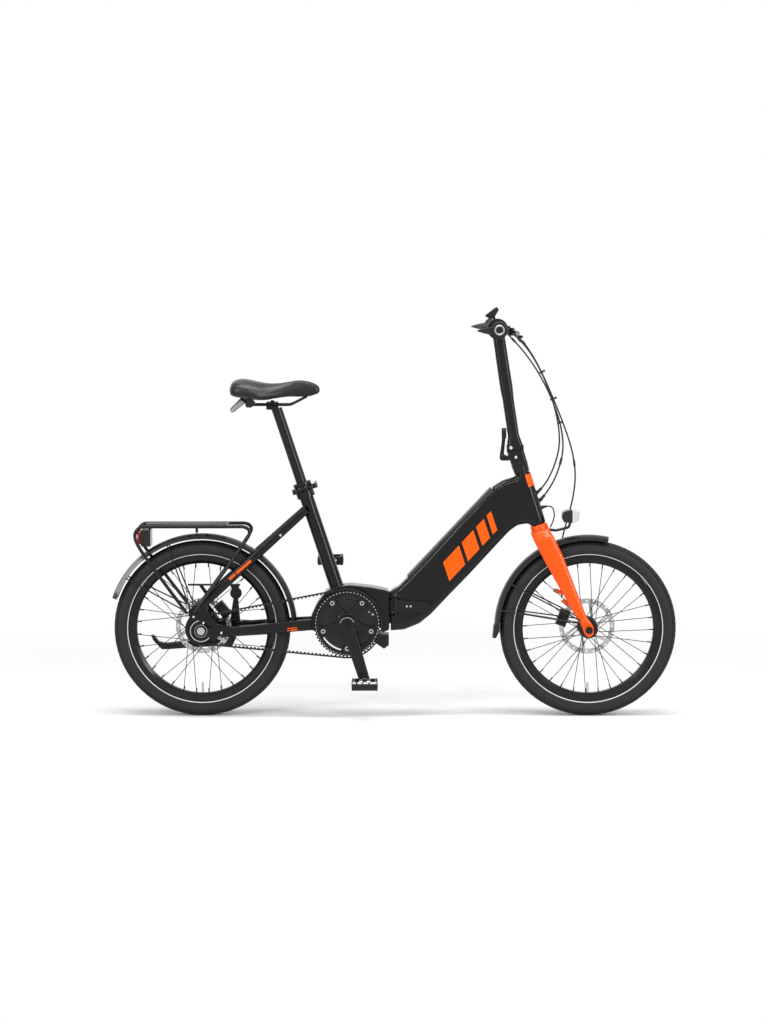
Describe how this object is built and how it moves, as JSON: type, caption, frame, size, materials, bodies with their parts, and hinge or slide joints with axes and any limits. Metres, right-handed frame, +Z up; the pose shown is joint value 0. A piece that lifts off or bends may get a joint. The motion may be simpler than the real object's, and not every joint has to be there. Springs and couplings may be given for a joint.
{
  "type": "folding bicycle",
  "caption": "Folding electric bicycle with small wheels, a hinged frame and stem, belt drive, mudguards, rack and folding pedals.",
  "frame": {"origin": "on the floor under the middle of the bicycle", "axes": "+X forward, +Y to the rider's left, +Z up"},
  "size_m": [1.6166, 0.586, 1.172],
  "materials": {
    "frame_paint": "gloss metallic black paint",
    "fork_paint": "gloss orange paint",
    "black_alloy": "satin black anodised",
    "motor_case": "satin black cast",
    "steel": "brushed",
    "black_steel": "black coated",
    "tyre": "matte with a fine side ribbing",
    "belt_rubber": "matte",
    "grip_rubber": "soft matte",
    "black_plastic": "satin",
    "battery_case": "dark grey satin",
    "saddle_cover": "fine grained",
    "lamp_body": "gloss",
    "cable_jacket": "satin"
  },
  "bodies": {
    "rear_frame": {"rear_frame_casting": "frame_paint", "motor_unit": "motor_case", "frame_hinge_pin": "steel", "seat_tube": "frame_paint", "seat_collar": "black_alloy", "chainstays": "frame_paint", "seatstays": "frame_paint", "rear_axle": "steel", "rear_caliper": "black_alloy", "rear_fender": "black_plastic", "rear_fender_stays": "black_steel", "rack_frame": "black_alloy", "tail_light": "lamp_body", "fold_magnet": "black_alloy", "drive_belt": "belt_rubber"},
    "rear_wheel": {"rear_tyre": "tyre", "rear_rim": "black_alloy", "rear_spokes": "black_steel", "rear_hub": "black_alloy", "rear_rotor": "steel", "rear_sprocket": "black_steel"},
    "crankset": {"crank_axle": "steel", "crank_arm_right": "black_alloy", "crank_arm_left": "black_alloy", "front_sprocket": "black_alloy", "sprocket_spider": "black_alloy", "sprocket_bolts": "steel"},
    "pedal_axle_right": {"pedal_axle_right": "steel"},
    "pedal_right": {"pedal_right": "black_plastic"},
    "pedal_axle_left": {"pedal_axle_left": "steel"},
    "pedal_left": {"pedal_left": "black_plastic"},
    "seat_assembly": {"seat_post": "black_alloy", "saddle_clamp": "black_alloy", "saddle_rails": "black_steel", "saddle": "saddle_cover"},
    "seat_clamp_lever": {"seat_clamp_lever": "black_alloy"},
    "kickstand": {"kickstand_leg": "black_alloy"},
    "front_frame": {"front_frame_tube": "frame_paint"},
    "battery": {"battery_pack": "battery_case"},
    "frame_latch": {"frame_latch_lever": "black_alloy"},
    "steering": {"fork": "fork_paint", "stem_base": "black_alloy", "front_fender": "black_plastic", "headlamp": "lamp_body", "front_caliper": "black_alloy", "front_axle": "steel"},
    "front_wheel": {"front_tyre": "tyre", "front_rim": "black_alloy", "front_spokes": "black_steel", "front_hub": "black_alloy", "front_rotor": "steel"},
    "handlepost": {"handlepost": "black_alloy", "handlebar": "black_alloy", "grips": "grip_rubber", "display": "lamp_body", "cables": "cable_jacket"},
    "stem_latch": {"stem_latch_lever": "black_alloy"},
    "twist_shifter": {"twist_shifter": "black_plastic"},
    "brake_lever_right": {"brake_lever_right": "black_alloy"},
    "brake_lever_left": {"brake_lever_left": "black_alloy"}
  },
  "joints": [
    {"name": "frame_fold", "type": "hinge", "parent": "rear_frame", "child": "front_frame", "pos_m": [-0.007, 0.055, 0.306], "axis": [0, 0, 1], "range_deg": [0, 155]},
    {"name": "frame_latch", "type": "hinge", "parent": "front_frame", "child": "frame_latch", "pos_m": [0.009, -0.0475, 0.321], "axis": [0, 0, -1], "range_deg": [0, 100]},
    {"name": "battery_lift", "type": "slide", "parent": "front_frame", "child": "battery", "axis": [-0.7291, 0, 0.6844], "range_m": [0, 0.09]},
    {"name": "steer", "type": "hinge", "parent": "front_frame", "child": "steering", "pos_m": [0.4176, 0, 0.551], "axis": [-0.3022, 0, 0.9532], "range_deg": [-60, 60], "deforming": ["cables"]},
    {"name": "stem_fold", "type": "hinge", "parent": "steering", "child": "handlepost", "pos_m": [0.351, 0.031, 0.765], "axis": [1, 0, 0], "range_deg": [-140, 0], "deforming": ["cables"]},
    {"name": "stem_latch", "type": "hinge", "parent": "steering", "child": "stem_latch", "pos_m": [0.314, 0, 0.742], "axis": [0, -1, 0], "range_deg": [0, 100]},
    {"name": "brake_right", "type": "hinge", "parent": "handlepost", "child": "brake_lever_right", "pos_m": [0.334, -0.118, 1.104], "axis": [0, 0, -1], "range_deg": [0, 18], "stiffness_Nm_per_rad": 0.6},
    {"name": "brake_left", "type": "hinge", "parent": "handlepost", "child": "brake_lever_left", "pos_m": [0.334, 0.118, 1.104], "axis": [0, 0, 1], "range_deg": [0, 18], "stiffness_Nm_per_rad": 0.6},
    {"name": "shift_twist", "type": "hinge", "parent": "handlepost", "child": "twist_shifter", "pos_m": [0.294, -0.15, 1.112], "axis": [0, 1, 0], "range_deg": [-50, 50]},
    {"name": "front_wheel_spin", "type": "hinge", "parent": "steering", "child": "front_wheel", "pos_m": [0.561, 0, 0.2525], "axis": [0, 1, 0], "continuous": true},
    {"name": "crank_spin", "type": "hinge", "parent": "rear_frame", "child": "crankset", "pos_m": [-0.129, 0, 0.272], "axis": [0, 1, 0], "continuous": true},
    {"name": "rear_wheel_spin", "type": "hinge", "parent": "rear_frame", "child": "rear_wheel", "pos_m": [-0.545, 0, 0.2525], "axis": [0, 1, 0], "continuous": true},
    {"name": "pedal_spin_right", "type": "hinge", "parent": "crankset", "child": "pedal_axle_right", "pos_m": [-0.07845, -0.09, 0.10969], "axis": [0, 1, 0], "continuous": true},
    {"name": "pedal_spin_left", "type": "hinge", "parent": "crankset", "child": "pedal_axle_left", "pos_m": [-0.17955, 0.09, 0.43431], "axis": [0, 1, 0], "continuous": true},
    {"name": "pedal_fold_right", "type": "hinge", "parent": "pedal_axle_right", "child": "pedal_right", "pos_m": [-0.07845, -0.106, 0.10969], "axis": [-1, 0, 0], "range_deg": [0, 90]},
    {"name": "pedal_fold_left", "type": "hinge", "parent": "pedal_axle_left", "child": "pedal_left", "pos_m": [-0.17955, 0.106, 0.43431], "axis": [1, 0, 0], "range_deg": [0, 90]},
    {"name": "seat_post_slide", "type": "slide", "parent": "rear_frame", "child": "seat_assembly", "axis": [-0.3164, 0, 0.9486], "range_m": [-0.155, 0.03]},
    {"name": "seat_clamp", "type": "hinge", "parent": "rear_frame", "child": "seat_clamp_lever", "pos_m": [-0.22136, -0.031, 0.66455], "axis": [0.3164, 0, -0.9486], "range_deg": [0, 140]},
    {"name": "kickstand_swing", "type": "hinge", "parent": "rear_frame", "child": "kickstand", "pos_m": [-0.48, 0.085, 0.203], "axis": [0, -1, 0], "range_deg": [0, 108]}
  ],
  "couplings": [
    {"joint": "rear_wheel_spin", "follows": "crank_spin", "ratio": 2.5455},
    {"joint": "pedal_fold_left", "follows": "frame_fold", "ratio": 0.58065}
  ]
}
